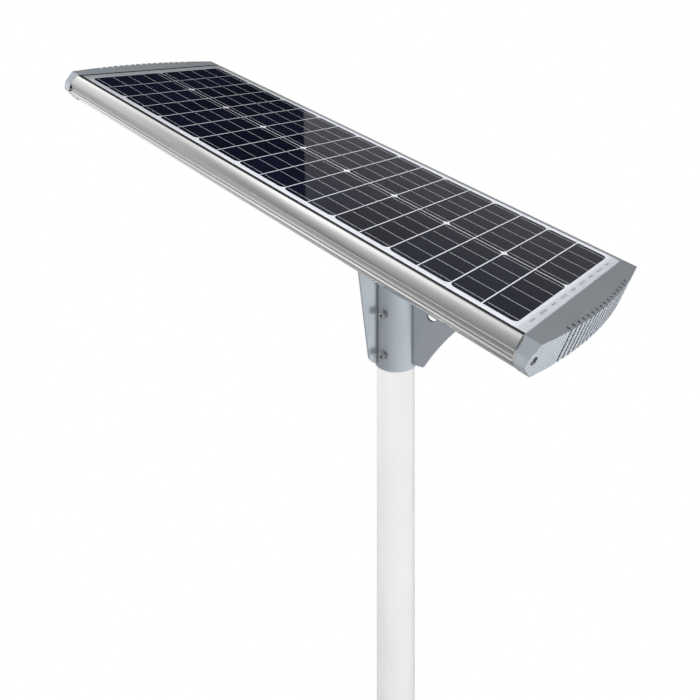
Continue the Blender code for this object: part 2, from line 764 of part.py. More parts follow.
def build_light_module(letter, middle):
    """Circuit board, gasket and lens cover, stacked down from the underside of the floor."""
    seat = FLOOR_OUTER - GAP
    half_x, half_y = LED_MODULE_LENGTH / 2, LED_MODULE_WIDTH / 2
    board_x, board_y = half_x - LED_BOARD_MARGIN, half_y - LED_BOARD_MARGIN
    board = span_mesh(
        (middle - board_x, -board_y, seat - 0.0016), (middle + board_x, board_y, seat)
    )
    add_part(f"led_board_{letter}", board, BOARD_WHITE, LAMP)

    corners = rectangle(half_x - LENS_SCREW_INSET, half_y - LENS_SCREW_INSET, (middle, 0.0))
    holes = [circle(0.0023, corner, 10) for corner in corners]
    opening = rectangle(board_x + GAP, board_y + GAP, (middle, 0.0))
    outline = rounded_rectangle(half_x, half_y, 0.005, (middle, 0.0), 2)
    gasket_thickness = 0.0015
    gasket = slab_mesh(outline, gasket_thickness, [opening, *holes])
    moved(gasket, Matrix.Translation((0, 0, seat - gasket_thickness / 2)))
    add_part(f"lens_gasket_{letter}", gasket, RUBBER, LAMP)

    flange_top = seat - gasket_thickness - GAP
    flange = slab_mesh(outline, LENS_FLANGE, holes)
    moved(flange, Matrix.Translation((0, 0, flange_top - LENS_FLANGE / 2)))
    lens = add_part(f"lens_cover_{letter}", flange, CLEAR_PLASTIC, LAMP)
    field_x, field_y = board_x - 0.004, board_y - 0.004
    field = slab_mesh(rounded_rectangle(field_x, field_y, 0.006, (middle, 0.0), 2), LENS_DEPTH)
    moved(field, Matrix.Translation((0, 0, flange_top - LENS_DEPTH / 2 - 0.0005)))
    add_boolean(lens, field, "UNION")
    pocket = span_mesh(
        (middle - field_x + 0.002, 0.002 - field_y, flange_top - LENS_DEPTH + 0.002),
        (middle + field_x - 0.002, field_y - 0.002, flange_top + 0.001),
    )
    add_boolean(lens, pocket)
    build_lens_screws(letter, corners, flange_top - LENS_FLANGE - GAP)


def build_lens_screws(letter, corners, seat):
    """Pan-head screws driven up through the lens flange into the floor."""
    profile = [
        (0.0, 0.0022),
        (0.0022, 0.0022),
        (0.0036, 0.0012),
        (0.0036, 0.0),
        (0.0020, 0.0),
        (0.0020, -0.0082),
        (0.0, -0.0082),
    ]
    for number, (x, y) in enumerate(corners, 1):
        downward = Matrix.Translation((x, y, seat)) @ Matrix.Rotation(pi, 4, "X")
        add_turned(f"lens_screw_{letter}{number}", profile, STEEL, LAMP, downward, 10)


# ---------------------------------------------------------------- sensor and switch
def build_sensor():
    """A motion sensor: a ring screwed under the floor, and its domed lens."""
    seat = FLOOR_OUTER - GAP
    down = Matrix.Translation((SENSOR_X, 0, seat)) @ Matrix.Rotation(pi, 4, "X")
    ring = [
        (0.0175, 0.0050),
        (0.0205, 0.0050),
        (0.0220, 0.0030),
        (0.0220, 0.0),
        (0.0175, 0.0),
    ]
    add_turned("sensor_ring", ring, BLACK_PLASTIC, LAMP, down, 24)
    radius, rim = 0.0170, 0.0040
    dome = [(0.0, rim + 0.0110)]
    for i in range(1, 7):
        angle = pi / 2 * i / 6
        dome.append((radius * sin(angle), rim + 0.0110 * cos(angle)))
    dome += [
        (radius, 0.0),
        (radius - 0.0015, 0.0),
        (radius - 0.0015, rim),
        (0.0080, rim + 0.0080),
        (0.0, rim + 0.0092),
    ]
    add_turned("sensor_lens", dome, WHITE_PLASTIC, LAMP, down, 20)


def build_switch():
    """A sealed push switch. Its button stands proud of the ring and travels inward."""
    seat = FLOOR_OUTER - GAP
    down = Matrix.Translation((SWITCH_X, SWITCH_Y, seat)) @ Matrix.Rotation(pi, 4, "X")
    bore, body = SWITCH_BUTTON_RADIUS + GAP, 0.0080
    flange_radius, well = 0.0110, -0.0065
    bezel = [
        (0.0, well),
        (bore, well),
        (bore, SWITCH_FLANGE),
        (flange_radius - 0.0010, SWITCH_FLANGE),
        (flange_radius, SWITCH_FLANGE - 0.0010),
        (flange_radius, 0.0),
        (body, 0.0),
        (body, -SWITCH_INSIDE),
        (0.0, -SWITCH_INSIDE),
    ]
    add_turned("switch_bezel", bezel, STEEL, LAMP, down, 20)
    button = [
        (0.0, 0.0052),
        (SWITCH_BUTTON_RADIUS - 0.0008, 0.0052),
        (SWITCH_BUTTON_RADIUS, 0.0044),
        (SWITCH_BUTTON_RADIUS, -0.0035),
        (0.0, -0.0035),
    ]
    add_turned("power_button", button, BLACK_PLASTIC, LAMP, down, 20)
    nut = slab_mesh(circle(0.0115, segments=6), 0.0025, [circle(body + GAP, segments=24)])
    moved(nut, Matrix.Translation((SWITCH_X, SWITCH_Y, FLOOR_INNER + GAP + 0.00125)))
    add_part("switch_nut", nut, STEEL, LAMP)


# ---------------------------------------------------------------- battery and electronics
def build_battery():
    floor = FLOOR_INNER + GAP
    outline = rounded_rectangle(
        (BATTERY_X[1] - BATTERY_X[0]) / 2,
        BATTERY_HALF_WIDTH,
        0.006,
        ((BATTERY_X[0] + BATTERY_X[1]) / 2, 0.0),
        3,
    )
    height = BATTERY_TOP - floor
    mesh = moved(slab_mesh(outline, height), Matrix.Translation((0, 0, floor + height / 2)))
    add_part("battery_pack", mesh, BATTERY_WRAP, LAMP)
    for number, x in enumerate(STRAP_X, 1):
        build_battery_strap(f"battery_strap_{number}", x)


def build_battery_strap(name, x):
    """A bent steel strip over the battery, with a foot on the floor at each side."""
    metal, width, foot = 0.0015, 0.018, 0.012
    floor, inner = FLOOR_INNER + GAP, BATTERY_HALF_WIDTH + GAP
    top = BATTERY_TOP + GAP
    half = [
        (inner + metal, top + metal),
        (inner + metal, floor + metal),
        (inner + foot, floor + metal),
        (inner + foot, floor),
        (inner, floor),
        (inner, top),
    ]
    section = half + [(-y, z) for y, z in reversed(half)]
    strap = moved(slab_mesh(section, width), ALONG_HEAD, Matrix.Translation((x, 0, 0)))
    add_part(name, strap, STEEL, LAMP)


def build_controller():
    floor = FLOOR_INNER + GAP
    mesh = span_mesh(
        (CONTROLLER_X[0], -CONTROLLER_HALF_WIDTH, floor),
        (CONTROLLER_X[1], CONTROLLER_HALF_WIDTH, CONTROLLER_TOP),
    )
    add_part("charge_controller", mesh, BLACK_PLASTIC, LAMP)


def build_cables():
    """Leads between the controller and what it serves, each stopping GAP short of its ends."""
    side = CONTROLLER_HALF_WIDTH + GAP
    z = CABLE_HEIGHT
    board = FLOOR_OUTER
    paths = {
        "panel_lead": [(CONTROLLER_X[1] + GAP, 0.020, -0.030), (0.120, 0.020, -0.026)]
        + [(0.185, 0.020, -0.013), (JUNCTION_BOX_X[0] - GAP, 0.020, -0.013)],
        "battery_lead": [(BATTERY_X[1] + GAP, -0.020, z), (CONTROLLER_X[0] - GAP, -0.020, z)],
        "led_lead_a": [(-0.040, -side, z), (-0.040, -0.095, z), (LED_LEAD_A_HOLE[0], -0.095, z)]
        + [(*LED_LEAD_A_HOLE, z), (*LED_LEAD_A_HOLE, board)],
        "led_lead_b": [(-0.060, side, z), (-0.060, 0.060, z), (-0.088, 0.060, z)]
        + [(*LED_LEAD_B_HOLE, z), (*LED_LEAD_B_HOLE, board)],
        "sensor_lead": [(CONTROLLER_X[1] + GAP, 0.0, z), (SENSOR_LEAD_HOLE[0], 0.0, z)]
        + [(*SENSOR_LEAD_HOLE, board - 0.001)],
        "switch_lead": [(-0.015, -side, z), (-0.015, SWITCH_Y, z), (SWITCH_X, SWITCH_Y, -0.028)]
        + [(SWITCH_X, SWITCH_Y, FLOOR_OUTER + SWITCH_INSIDE)],
    }
    for name, path in paths.items():
        add_part(name, tube_mesh(path, CABLE_RADIUS), RUBBER, LAMP, smooth=True)


# ---------------------------------------------------------------- build
build_pole()
build_bracket()
build_backing_plate()
build_bracket_bolts()
build_set_screws()
build_housing()
build_ends()
build_panel()
build_panel_gaskets()
build_junction_box()
for letter, middle in zip("ab", LED_MODULE_X):
    build_light_module(letter, middle)
build_sensor()
build_switch()
build_battery()
build_controller()
build_cables()
bpy.context.view_layer.update()
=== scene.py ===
"""Looks for the solar street lamp: photo-like materials, panel and light detail, studio and camera."""

import json
from math import cos, pi, radians, sin

import bmesh
import bpy
from mathutils import Matrix, Vector


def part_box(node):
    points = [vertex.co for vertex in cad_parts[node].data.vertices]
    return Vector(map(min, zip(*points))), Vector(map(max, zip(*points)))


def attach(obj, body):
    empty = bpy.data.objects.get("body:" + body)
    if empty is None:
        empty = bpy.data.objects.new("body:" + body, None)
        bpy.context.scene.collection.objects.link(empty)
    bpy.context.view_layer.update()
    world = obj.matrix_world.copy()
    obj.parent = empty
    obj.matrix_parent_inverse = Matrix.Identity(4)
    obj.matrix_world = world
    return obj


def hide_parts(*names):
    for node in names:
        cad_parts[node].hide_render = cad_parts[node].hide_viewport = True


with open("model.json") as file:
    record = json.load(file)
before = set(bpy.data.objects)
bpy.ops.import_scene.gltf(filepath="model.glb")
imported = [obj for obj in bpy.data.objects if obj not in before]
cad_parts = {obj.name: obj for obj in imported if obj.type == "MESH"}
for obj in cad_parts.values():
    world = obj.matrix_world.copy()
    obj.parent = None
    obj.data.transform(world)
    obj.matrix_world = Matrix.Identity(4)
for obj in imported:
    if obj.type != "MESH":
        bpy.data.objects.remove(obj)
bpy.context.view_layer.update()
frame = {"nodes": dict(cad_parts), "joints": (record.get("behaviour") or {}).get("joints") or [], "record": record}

# ---------------------------------------------------------------- driving dimensions, metres
STRIP_COLUMNS = 18
CELL_ROWS = 2
STRIP_PITCH = 0.0500
ROW_PITCH = 0.1610
CELL_GAP = 0.0020
CELL_CORNER = 0.0080
CELL_DEPTH = 0.0008  # under the glass's face; see build_cells
CELL_THICKNESS = 0.00018
BUSBARS_PER_ROW = 5
BUSBAR_PITCH = 0.0352
BUSBAR_WIDTH = 0.0012
BUSBAR_INSET = 0.0030  # bare silicon before a ribbon starts; its other end reaches into the next gap
BUSBAR_PROUD = 0.00012  # above the cells' face
RIBBON_THICKNESS = 0.0001
FILM_MARGIN = 0.0004  # inside the glass's edge
FILM_THICKNESS = 0.0003

END_RIBBONS = 9
END_RIBBON_PITCH = 0.0335
END_RIBBON_WIDTH = 0.0034
END_RIBBON_HALF_LENGTHS = (0.0075, 0.0105)  # in turn
END_RIBBON_GAP = 0.0085  # from the last cells to the middle of the ribbons

LED_COLUMNS = 10
LED_ROWS = 6
LED_MARGIN = 0.4  # of a step, left over at the board's edges
LED_SIZE = 0.0035
LED_THICKNESS = 0.0007
LED_SINK = 0.0001
OPTIC_RADIUS = 0.0064
OPTIC_HEIGHT = 0.0030

FLOOR_SIZE = 60.0
FLOOR_DROP = 0.001  # keeps the floor from touching the pole's cut end
FLOOR_SHADE_IN_MIRRORS = (  # metres from the middle of the floor, brightness in mirrors: painted shade near the lamp, in place of its shadow on the floor
    (0.4, 0.20), (1.0, 0.40), (2.2, 0.60), (3.2, 0.95),
)

WHITE = (1.0, 1.0, 1.0)
SKY = ((0.75, 0.35), (1.0, 0.21))  # height, brightness of the light that the room itself gives

# The room that the glass and the metal mirror. The edge of its bright wall crosses the panel at these
# places along the head.
REFLECTION_AT_REAR_EDGE = -0.201
REFLECTION_AT_FRONT_EDGE = 0.107
REFLECTION_EDGE_SPREAD = 0.17  # from the panel's middle to those two places, across the head
REFLECTION_BLUR = 0.001
PAST_THE_WALL = (0.01, 0.01, 0.01)
WALL_BY_HEIGHT = (
    (0.0, 0.55), (0.40, 0.50), (0.45, 0.41), (0.49, 0.335), (0.53, 0.27), (0.6, 0.25), (1.0, 1.35),
)
WALL_SIDEWAYS = ((-0.42, 1.15), (-0.18, 0.90), (-0.10, 0.78))
# The overhead light is banded along this vector, so each straight line of the shoulder mirrors one
# brightness all along its length, but for the sideways drift.
SHOULDER_BANDS = (-0.226, 0.0, 0.87)
OVERHEAD = (
    (0.0, 0.26), (0.41, 0.29), (0.56, 0.39), (0.70, 0.52), (0.80, 0.70), (0.87, 1.20), (0.95, 1.95),
)
OVERHEAD_SIDEWAYS = (
    (-0.70, 1.8), (-0.58, 1.5), (-0.47, 0.64), (-0.38, 0.80), (-0.30, 1.05), (-0.18, 0.90), (0.0, 0.75),
)

SOFTBOXES = (  # name, place, target, size, watts, what it lights; see add_softbox
    ("left_high", (-1.3, -2.2, 2.4), (0.0, 0.0, 0.75), 1.2, 62.0, "rest"),
    ("left_low", (-2.2, -1.2, 0.5), (0.0, 0.0, 0.6), 0.8, 18.0, "rest"),
    ("right_low", (2.0, -0.3, 0.3), (0.1, 0.0, 0.72), 0.5, 29.0, "rest"),
    ("right_high", (1.8, -1.8, 2.2), (0.0, 0.0, 0.75), 1.2, 6.0, "rest"),
    ("bracket_side", (1.95, 0.05, 0.33), (0.1, 0.0, 0.72), 0.5, 38.0, "bracket"),
    ("bracket_front", (0.0, -2.4, 0.5), (0.0, 0.0, 0.5), 0.8, 14.0, "bracket"),
)

CAMERA_FROM_POLE = Vector((0.7063, -1.0523, 1.1666))
CAMERA_TURN = radians(37.18)
CAMERA_LENS = 40.70
CAMERA_SHIFT = -0.488

# ---------------------------------------------------------------- places taken from the frame
JOINTS = {joint["name"]: joint for joint in frame["joints"]}
POLE_X = JOINTS["head_swivel"]["pos_m"][0]
PANEL_NORMAL = Vector(JOINTS["power_button_press"]["axis"]).normalized()
CAMERA_PLACE = CAMERA_FROM_POLE + Vector((POLE_X, 0.0, 0.0))


def lamp_matrix():
    """The head's frame: centre of the panel's face, X down the slope, Y across, Z out of the panel."""
    low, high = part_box("panel_glass")
    across = Vector((0.0, 1.0, 0.0))
    along = across.cross(PANEL_NORMAL)
    middle = (low + high) / 2
    # The glass's highest point along the normal lies on its face.
    reach = max(PANEL_NORMAL.dot(v.co) for v in frame["nodes"]["panel_glass"].data.vertices)
    origin = middle + PANEL_NORMAL * (reach - PANEL_NORMAL.dot(middle))
    axes = Matrix((along, across, PANEL_NORMAL)).transposed()
    return Matrix.Translation(origin) @ axes.to_4x4()


LAMP = lamp_matrix()
LAMP_INVERSE = LAMP.inverted()


def lamp_box(node):
    """Lowest and highest corner of a CAD node, in the head's frame."""
    points = [LAMP_INVERSE @ v.co for v in frame["nodes"][node].data.vertices]
    low = Vector(min(p[i] for p in points) for i in range(3))
    high = Vector(max(p[i] for p in points) for i in range(3))
    return low, high


def make_lamp_space():
    """An empty in the head's frame that the head's textures take their coordinates from."""
    empty = bpy.data.objects.new("lamp_space", None)
    bpy.context.scene.collection.objects.link(empty)
    empty.matrix_world = LAMP
    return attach(empty, "head")


LAMP_SPACE = make_lamp_space()


# ---------------------------------------------------------------- shader helpers
class Graph:
    """A shader's node tree and the nodes that both the finishes and the studio use."""

    def __init__(self, tree):
        self.tree = tree

    def node(self, kind, **values):
        made = self.tree.nodes.new(kind)
        for name, value in values.items():
            made.inputs[name.replace("_", " ")].default_value = value
        return made

    def link(self, source, target):
        self.tree.links.new(source, target)

    def feed(self, value, socket):
        """Give a socket a value, which is a number, a colour or another node's output."""
        if isinstance(value, bpy.types.NodeSocket):
            self.link(value, socket)
        elif isinstance(value, float):
            socket.default_value = value
        else:
            socket.default_value = (*value, 1.0)

    def ranged(self, value, low, high, start=0.35, end=0.65):
        """Map a value from start and end, by default a noise's usual ones, to low and high."""
        node = self.node("ShaderNodeMapRange")
        node.inputs["From Min"].default_value = start
        node.inputs["From Max"].default_value = end
        node.inputs["To Min"].default_value = low
        node.inputs["To Max"].default_value = high
        self.link(value, node.inputs["Value"])
        return node.outputs["Result"]

    def ramp(self, value, *stops, low=-1.0, high=1.0):
        """A grey that goes through the (place, brightness) stops, with places from low to high."""
        node = self.node("ShaderNodeValToRGB")
        self.link(self.ranged(value, 0.0, 1.0, low, high), node.inputs["Fac"])
        elements = node.color_ramp.elements
        while len(elements) < len(stops):
            elements.new(0.5)
        for element, (place, grey) in zip(elements, stops):
            element.position = (place - low) / (high - low)
            element.color = (grey, grey, grey, 1.0)
        return node.outputs["Color"]


class Surface(Graph):
    """A Principled material and the few node recipes that every finish here is made from.

    Each recipe for colour paints over the ones before it."""

    def __init__(self, name, colour, roughness, metallic=0.0, space=None):
        self.material = bpy.data.materials.new(name)
        self.material.use_nodes = True
        super().__init__(self.material.node_tree)
        self.shader = self.tree.nodes["Principled BSDF"]
        self.shader.inputs["Base Color"].default_value = (*colour, 1.0)
        self.shader.inputs["Roughness"].default_value = roughness
        self.shader.inputs["Metallic"].default_value = metallic
        self.colour = colour
        self.base = colour
        self.coordinates = self.node("ShaderNodeTexCoord")
        self.coordinates.object = space

    def noise(self, scale, detail=4.0, stretch=(1.0, 1.0, 1.0)):
        """Noise with its features about 1 / scale metres across, drawn out along some axes."""
        mapping = self.node("ShaderNodeMapping")
        mapping.inputs["Scale"].default_value = stretch
        self.link(self.coordinates.outputs["Object"], mapping.inputs["Vector"])
        noise = self.node("ShaderNodeTexNoise", Scale=scale, Detail=detail)
        self.link(mapping.outputs["Vector"], noise.inputs["Vector"])
        return noise.outputs["Fac"]

    def mixed(self, factor, first, second):
        """A colour between first and second; each is a colour or another node's output."""
        node = self.node("ShaderNodeMix")
        node.data_type = "RGBA"
        self.link(factor, node.inputs["Factor"])
        self.feed(first, node.inputs[6])
        self.feed(second, node.inputs[7])
        return node.outputs[2]

    def tint(self, other, scale, stretch=(1.0, 1.0, 1.0)):
        """Drift the base colour towards another one in soft patches."""
        patches = self.ranged(self.noise(scale, 3.0, stretch), 0.0, 1.0)
        self.paint(self.mixed(patches, self.colour, other))
        return self

    def paint(self, colour):
        """Make a node's output the base colour."""
        self.base = colour
        self.link(colour, self.shader.inputs["Base Color"])

    def worn_edges(self, bare, amount):
        """Lighter metal or scuffed paint where the surface turns sharply."""
        pointed = self.node("ShaderNodeNewGeometry").outputs["Pointiness"]
        edge = self.ranged(pointed, 0.0, amount, 0.52, 0.60)
        self.paint(self.mixed(edge, self.base, bare))
        return self

    def dust(self, colour, amount):
        """A thin, patchy film on faces that look up."""
        up = self.node("ShaderNodeSeparateXYZ")
        self.link(self.node("ShaderNodeNewGeometry").outputs["Normal"], up.inputs["Vector"])
        facing = self.ranged(up.outputs["Z"], 0.0, amount, 0.3, 1.0)
        patchy = self.node("ShaderNodeMath")
        patchy.operation = "MULTIPLY"
        self.link(facing, patchy.inputs[0])
        self.link(self.ranged(self.noise(14.0), 0.3, 1.0), patchy.inputs[1])
        self.paint(self.mixed(patchy.outputs["Value"], self.base, colour))
        return self

    def painted_cavity_shade(self, reach, dark, closed, clear):
        """Painted shade: darker in grooves and inside corners narrower than about this reach."""
        shade = self.node("ShaderNodeAmbientOcclusion", Distance=reach)
        shade.samples = 8
        openness = self.ranged(shade.outputs["AO"], 0.0, 1.0, closed, clear)
        self.paint(self.mixed(openness, dark, self.base))
        return self

    def graded(self, axis, *stops):
        """Painted light and shade: scale the base colour along an axis of the head, through (metres, share) stops.
        """
        along = self.node("ShaderNodeSeparateXYZ")
        self.link(self.coordinates.outputs["Object"], along.inputs["Vector"])
        node = self.node("ShaderNodeMix")
        node.data_type = "RGBA"
        node.blend_type = "MULTIPLY"
        node.inputs["Factor"].default_value = 1.0
        self.feed(self.base, node.inputs[6])
        low, high = stops[0][0], stops[-1][0]
        self.link(self.ramp(along.outputs[axis], *stops, low=low, high=high), node.inputs[7])
        self.paint(node.outputs[2])
        return self

    def rough(self, low, high, scale, stretch=(1.0, 1.0, 1.0)):
        """Let the roughness vary between low and high."""
        spread = self.ranged(self.noise(scale, 5.0, stretch), low, high)
        self.link(spread, self.shader.inputs["Roughness"])
        return self

    def bump(self, scale, height, stretch=(1.0, 1.0, 1.0), edge=0.0):
        """Fine relief of this height in metres, on edges rounded to the given radius."""
        node = self.node("ShaderNodeBump", Strength=1.0, Distance=height)
        self.link(self.noise(scale, 3.0, stretch), node.inputs["Height"])
        if edge > 0.0:
            rounded = self.node("ShaderNodeBevel", Radius=edge)
            rounded.samples = 4
            self.link(rounded.outputs["Normal"], node.inputs["Normal"])
        self.link(node.outputs["Normal"], self.shader.inputs["Normal"])
        return self


# ---------------------------------------------------------------- finishes
BRUSHED = (0.4, 30.0, 30.0)  # stretches a texture along the head
FILM_GLOW = 0.50  # painted light: emission that lifts the film to a studio picture's white
FILM_PAINTED_SHADE = (  # metres along the head from its middle, share of full white: painted shade, darker towards the ends, most at the high end
    (-0.468, 0.34), (-0.452, 0.40), (-0.442, 0.58), (-0.33, 0.72),
    (-0.15, 0.90), (0.05, 1.0), (0.450, 1.0), (0.456, 0.76),
)
PAINTED_GROOVE_SHADE = (  # height from the panel's face, share of the metal's colour: painted shade in three grooves along the side
    (-0.0345, 1.0), (-0.0335, 0.50), (-0.0312, 0.50), (-0.0306, 1.05), (-0.0286, 1.05), (-0.0280, 0.42),
    (-0.0262, 0.42), (-0.0256, 0.85), (-0.0238, 0.85), (-0.0232, 0.50), (-0.0192, 0.42), (-0.0184, 0.72),
    (-0.0165, 0.75), (-0.0155, 1.0),
)


def pole_coat():
    """White powder coat with a faint orange peel."""
    coat = Surface("pole_coat", (0.72, 0.72, 0.72), 0.35)
    coat.tint((0.69, 0.69, 0.68), 6.0)
    coat.rough(0.30, 0.42, 40.0)
    coat.bump(700.0, 0.00004)
    coat.shader.inputs["Coat Weight"].default_value = 0.15
    return coat.material


def grey_paint():
    """Grey-blue paint on cast aluminium."""
    paint = Surface("grey_paint", (0.330, 0.363, 0.400), 0.45, space=LAMP_SPACE)
    paint.tint((0.305, 0.335, 0.365), 9.0)
    paint.worn_edges((0.50, 0.53, 0.56), 0.12)
    paint.dust((0.50, 0.48, 0.44), 0.03)
    # painted shade in the end caps' slots and in inside corners
    paint.painted_cavity_shade(0.010, (0.035, 0.040, 0.045), 0.25, 0.85)
    paint.rough(0.38, 0.52, 60.0)
    paint.shader.inputs["Specular IOR Level"].default_value = 0.35
    paint.bump(900.0, 0.00006, edge=0.0007)
    return paint.material


def anodised():
    """Satin anodised extrusion, with fine die lines along the head."""
    metal = Surface("anodised_aluminium", (0.80, 0.80, 0.80), 0.2, 0.9, LAMP_SPACE)
    metal.tint((0.76, 0.76, 0.75), 8.0, (0.3, 1.0, 1.0))
    metal.worn_edges((0.90, 0.90, 0.89), 0.4)
    # painted shade in the side grooves
    metal.graded("Z", *PAINTED_GROOVE_SHADE)
    metal.rough(0.15, 0.19, 30.0, BRUSHED)
    metal.bump(60.0, 0.000002, BRUSHED)
    return metal.material


def stainless():
    """Turned stainless steel, lighter along the edges of heads and sockets."""
    steel = Surface("stainless_steel", (0.56, 0.56, 0.55), 0.28, 1.0)
    steel.tint((0.46, 0.46, 0.46), 90.0)
    steel.worn_edges((0.75, 0.75, 0.74), 0.5)
    steel.rough(0.20, 0.38, 300.0)
    steel.bump(1500.0, 0.00002, edge=0.0002)
    return steel.material


def rubber():
    """Matt black rubber."""
    seal = Surface("rubber", (0.022, 0.022, 0.023), 0.7, space=LAMP_SPACE)
    seal.tint((0.040, 0.040, 0.040), 40.0)
    seal.rough(0.60, 0.82, 80.0)
    seal.bump(1200.0, 0.00005)
    return seal.material


def grey_sealant():
    """The paler seals, close to the paint in colour."""
    seal = Surface("grey_sealant", (0.50, 0.52, 0.54), 0.55, space=LAMP_SPACE)
    seal.tint((0.44, 0.46, 0.48), 30.0)
    seal.rough(0.50, 0.70, 80.0)
    seal.bump(900.0, 0.00004)
    return seal.material


def silicon():
    """Near-black cells, each strip a slightly different blue, under fine contact fingers.

    They are bonded to the glass, so they have no mirror of their own."""
    cell = Surface("silicon", (0.0090, 0.0110, 0.0270), 0.35, space=LAMP_SPACE)
    cell.shader.inputs["Specular IOR Level"].default_value = 0.0
    random = cell.node("ShaderNodeNewGeometry").outputs["Random Per Island"]
    strips = cell.mixed(random, (0.0070, 0.0085, 0.0220), (0.0110, 0.0130, 0.0330))
    fingers = cell.node("ShaderNodeTexWave", Scale=98.0)
    cell.link(cell.coordinates.outputs["Object"], fingers.inputs["Vector"])
    line = cell.ranged(fingers.outputs["Fac"], 0.0, 0.10, 0.90, 1.0)
    cell.paint(cell.mixed(line, strips, (0.035, 0.035, 0.045)))
    cell.rough(0.30, 0.42, 60.0)
    cell.bump(500.0, 0.00001)
    return cell.material


def white_film():
    """The white back sheet that shows between and around the cells, with painted shade along the head and a
    painted glow.
    """
    film = Surface("white_film", (0.84, 0.85, 0.91), 0.5, space=LAMP_SPACE)
    film.tint((0.79, 0.80, 0.86), 12.0)
    film.shader.inputs["Specular IOR Level"].default_value = 0.0
    # painted shade along the head
    film.graded("X", *FILM_PAINTED_SHADE)
    # painted light: the film glows
    film.link(film.base, film.shader.inputs["Emission Color"])
    film.shader.inputs["Emission Strength"].default_value = FILM_GLOW
    film.rough(0.45, 0.60, 90.0)
    film.bump(800.0, 0.00002)
    return film.material


def tinned_ribbon():
    """Copper ribbon with a dull coat of solder."""
    ribbon = Surface("tinned_ribbon", (0.93, 0.95, 0.99), 0.35, 0.3, LAMP_SPACE)
    ribbon.tint((0.85, 0.87, 0.91), 25.0)
    ribbon.rough(0.35, 0.50, 150.0)
    ribbon.bump(1500.0, 0.00002)
    return ribbon.material


def clear_sheet(name, index, tint):
    """Glass or clear plastic as a thin sheet: what lies behind shows, under a mirrored studio.

    Only faces seen from outside mirror anything, so that a slab doesn't reflect twice."""
    sheet = Surface(name, tint, 0.02, space=LAMP_SPACE)
    sheet.tint(tuple(0.98 * part for part in tint), 10.0)
    through = sheet.node("ShaderNodeBsdfTransparent")
    sheet.link(sheet.base, through.inputs["Color"])
    mirror = sheet.node("ShaderNodeBsdfGlossy")
    smudges = sheet.ranged(sheet.noise(22.0, 5.0), 0.006, 0.020)
    sheet.link(smudges, mirror.inputs["Roughness"])
    fresnel = sheet.node("ShaderNodeFresnel", IOR=index)
    inside = sheet.node("ShaderNodeNewGeometry").outputs["Backfacing"]
    share = sheet.node("ShaderNodeMath")
    share.operation = "MULTIPLY"
    sheet.link(fresnel.outputs["Fac"], share.inputs[0])
    sheet.link(sheet.ranged(inside, 1.0, 0.0, 0.0, 1.0), share.inputs[1])
    blend = sheet.node("ShaderNodeMixShader")
    sheet.link(share.outputs["Value"], blend.inputs[0])
    sheet.link(through.outputs[0], blend.inputs[1])
    sheet.link(mirror.outputs[0], blend.inputs[2])
    sheet.link(blend.outputs[0], sheet.tree.nodes["Material Output"].inputs["Surface"])
    return sheet.material


def moulded(name, colour, other, roughness, grain=900.0):
    """A moulded plastic with a fine grain."""
    plastic = Surface(name, colour, roughness)
    plastic.tint(other, 50.0)
    plastic.rough(roughness - 0.06, roughness + 0.08, 120.0)
    plastic.bump(grain, 0.00004, edge=0.0003)
    return plastic.material


def phosphor():
    """The yellow face of an LED that is switched off."""
    chip = Surface("led_phosphor", (0.85, 0.72, 0.22), 0.5, space=LAMP_SPACE)
    chip.tint((0.80, 0.64, 0.16), 300.0)
    chip.rough(0.40, 0.60, 400.0)
    chip.bump(2500.0, 0.00002)
    return chip.material


FINISHES = {
    "pole_paint": pole_coat(),
    "grey_paint": grey_paint(),
    "extrusion": anodised(),
    "steel": stainless(),
    "rubber": rubber(),
    "glass": clear_sheet("tempered_glass", 1.5, (0.99, 0.995, 1.0)),
    "cells": silicon(),
    "backsheet": white_film(),
    "lens": clear_sheet("clear_polycarbonate", 1.55, (0.93, 0.95, 0.96)),
    "board": moulded("board_white", (0.74, 0.74, 0.71), (0.68, 0.69, 0.66), 0.4),
    "white_plastic": moulded("white_plastic", (0.76, 0.76, 0.73), (0.70, 0.70, 0.67), 0.4),
    "black_plastic": moulded("black_plastic", (0.028, 0.028, 0.030), (0.045, 0.045, 0.047), 0.5),
    "battery_wrap": moulded("battery_wrap", (0.03, 0.11, 0.34), (0.02, 0.08, 0.27), 0.3, 300.0),
}
GREY_SEALS = ("end_gasket_low", "panel_gasket_rear")  # the others are black rubber
RIBBON = tinned_ribbon()
PHOSPHOR = phosphor()


# ---------------------------------------------------------------- CAD nodes
ROUND_ANGLE = radians(32)  # facets that meet at less than this belong to one round surface
WELD_REACH = 0.000002


def soften(obj):
    """Weld the imported facets and shade round surfaces smooth, keeping the real edges sharp."""
    weld = obj.modifiers.new("weld", "WELD")
    weld.merge_threshold = WELD_REACH
    split = obj.modifiers.new("sharp_edges", "EDGE_SPLIT")
    split.split_angle = ROUND_ANGLE
    for polygon in obj.data.polygons:
        polygon.use_smooth = True
    if "custom_normal" in obj.data.attributes:
        obj.data.attributes.remove(obj.data.attributes["custom_normal"])


def dress_nodes():
    """Give every CAD node the finish of its material slot."""
    sealant = grey_sealant()
    for part in frame["record"]["subparts"]:
        obj = frame["nodes"][part["node"]]
        grey = part["node"] in GREY_SEALS
        obj.data.materials.clear()
        obj.data.materials.append(sealant if grey else FINISHES[part["material_slot"]])
        soften(obj)


# ---------------------------------------------------------------- new pieces
def add_piece(name, bm, material):
    """Put a mesh drawn in the head's frame into the scene, riding on the head."""
    bm.transform(LAMP)
    mesh = bpy.data.meshes.new(name)
    bm.to_mesh(mesh)
    bm.free()
    mesh.materials.append(material)
    obj = bpy.data.objects.new(name, mesh)
    bpy.context.scene.collection.objects.link(obj)
    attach(obj, "head")
    return obj


